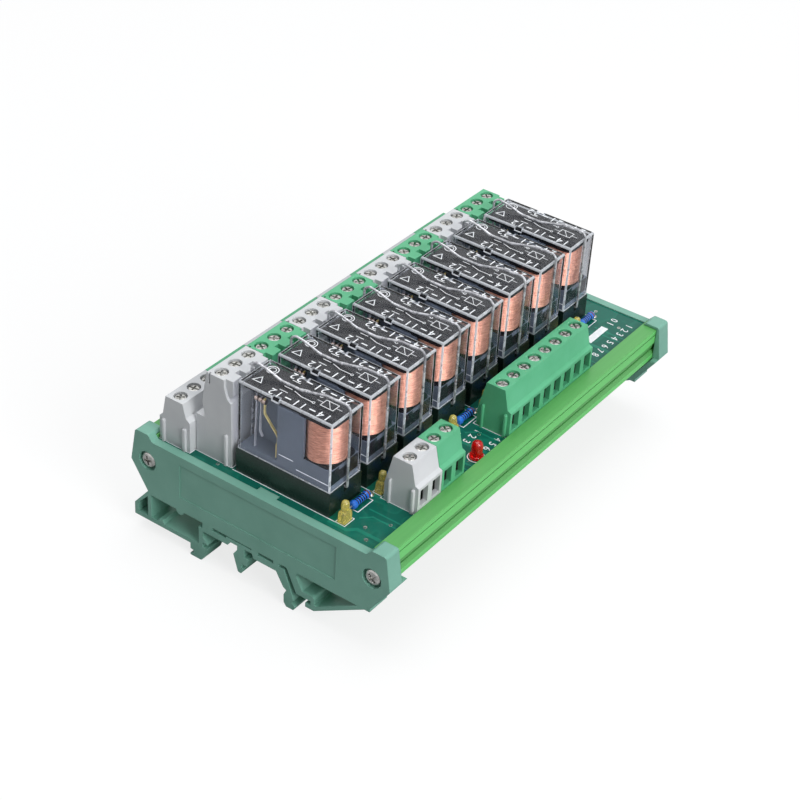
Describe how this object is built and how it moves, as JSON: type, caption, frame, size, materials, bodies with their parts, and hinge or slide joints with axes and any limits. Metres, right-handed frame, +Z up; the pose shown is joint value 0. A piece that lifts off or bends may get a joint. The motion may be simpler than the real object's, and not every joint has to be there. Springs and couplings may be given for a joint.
{
  "type": "relay module board",
  "caption": "Rail-mounted relay module: plug-in relays with clear covers, screw terminals and indicator lamps on a board in a green carrier with clip-on end plates.",
  "frame": {"origin": "middle of the module's length and width, on the plane of the undersides of the feet", "axes": "+X along the module from the near end plate to the far one, +Y across it towards the output terminals, +Z up from the mounting rail"},
  "size_m": [0.135, 0.0828, 0.0602],
  "materials": {
    "end_plate_green": "fine moulded satin",
    "carrier_green": "extruded satin",
    "board_green": "glossy solder mask",
    "terminal_grey": "moulded satin",
    "terminal_green": "moulded satin",
    "screw_steel": "zinc plated",
    "socket_dark": "moulded satin",
    "clear_cover": "clear polished",
    "relay_dark": "moulded satin",
    "coil_copper": "enamelled wire",
    "armature_steel": "plated",
    "contact_brass": "bright strip",
    "clip_steel": "bright wire",
    "resistor_blue": "lacquered",
    "led_yellow": "tinted clear",
    "led_red": "tinted clear"
  },
  "bodies": {
    "root": {"carrier_profile": "carrier_green", "circuit_board": "board_green", "end_plate_far": "end_plate_green", "end_plate_near": "end_plate_green", "end_plate_screws": "screw_steel", "hold_down_clips": "clip_steel", "input_block_green_long": "terminal_green", "input_block_green_short": "terminal_green", "input_block_grey": "terminal_grey", "lower_terminal_block_1": "terminal_grey", "lower_terminal_block_2": "terminal_green", "lower_terminal_block_3": "terminal_grey", "lower_terminal_block_4": "terminal_green", "lower_terminal_block_5": "terminal_grey", "lower_terminal_block_6": "terminal_green", "lower_terminal_block_7": "terminal_grey", "lower_terminal_block_8": "terminal_green", "red_led": "led_red", "relay_armatures": "armature_steel", "relay_coils": "coil_copper", "relay_contacts": "contact_brass", "relay_cover_1": "clear_cover", "relay_cover_2": "clear_cover", "relay_cover_3": "clear_cover", "relay_cover_4": "clear_cover", "relay_cover_5": "clear_cover", "relay_cover_6": "clear_cover", "relay_cover_7": "clear_cover", "relay_cover_8": "clear_cover", "relay_frame_1": "relay_dark", "relay_frame_2": "relay_dark", "relay_frame_3": "relay_dark", "relay_frame_4": "relay_dark", "relay_frame_5": "relay_dark", "relay_frame_6": "relay_dark", "relay_frame_7": "relay_dark", "relay_frame_8": "relay_dark", "relay_socket_1": "socket_dark", "relay_socket_2": "socket_dark", "relay_socket_3": "socket_dark", "relay_socket_4": "socket_dark", "relay_socket_5": "socket_dark", "relay_socket_6": "socket_dark", "relay_socket_7": "socket_dark", "relay_socket_8": "socket_dark", "resistors": "resistor_blue", "terminal_screws_input": "screw_steel", "terminal_screws_lower": "screw_steel", "terminal_screws_upper": "screw_steel", "upper_terminal_block_1": "terminal_grey", "upper_terminal_block_2": "terminal_green", "upper_terminal_block_3": "terminal_grey", "upper_terminal_block_4": "terminal_green", "upper_terminal_block_5": "terminal_grey", "upper_terminal_block_6": "terminal_green", "upper_terminal_block_7": "terminal_grey", "upper_terminal_block_8": "terminal_green", "yellow_leds": "led_yellow"}
  },
  "joints": []
}
